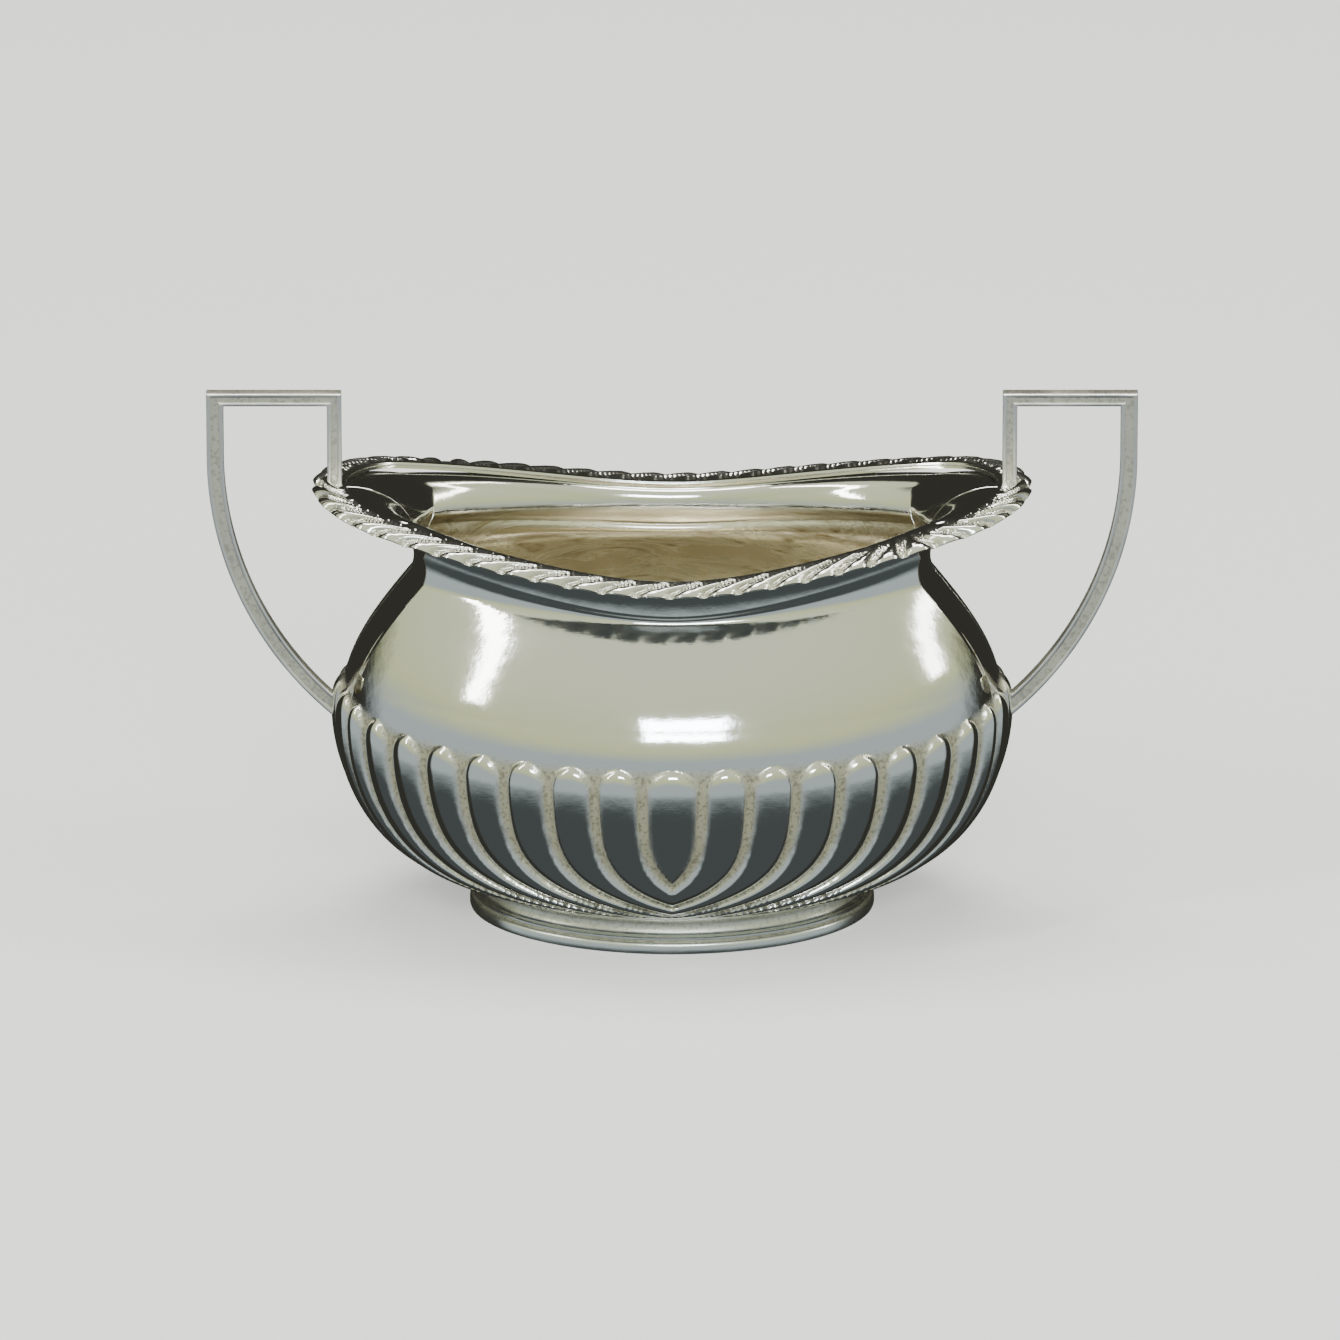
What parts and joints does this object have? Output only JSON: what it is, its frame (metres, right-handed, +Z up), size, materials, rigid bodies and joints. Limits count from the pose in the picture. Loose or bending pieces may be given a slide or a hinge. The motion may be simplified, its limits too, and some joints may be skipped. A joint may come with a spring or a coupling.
{
  "type": "sugar bowl",
  "caption": "Open oval silver sugar bowl with a half-lobed body, gadroon border, low oval foot, two angular loop handles and a gilt inside.",
  "frame": {"origin": "centre of the foot's resting plane, at the bottom of the bowl", "axes": "+X towards the right handle, -Y towards the front, +Z up"},
  "size_m": [0.18, 0.087, 0.1052],
  "materials": {
    "body_silver": "polished sterling silver, gilt-washed inside",
    "border_silver": "cast sterling silver, polished, dark in the grooves",
    "foot_silver": "polished sterling silver, slightly worn",
    "handle_silver": "polished sterling silver strip with a channelled face"
  },
  "bodies": {
    "root": {"body_front": "body_silver", "body_back": "body_silver", "gadroon_border_front": "border_silver", "gadroon_border_back": "border_silver", "foot_collet": "foot_silver", "foot_wire": "foot_silver", "handle_left_upright": "handle_silver", "handle_left_bar": "handle_silver", "handle_left_leg": "handle_silver", "handle_right_upright": "handle_silver", "handle_right_bar": "handle_silver", "handle_right_leg": "handle_silver"}
  },
  "joints": []
}
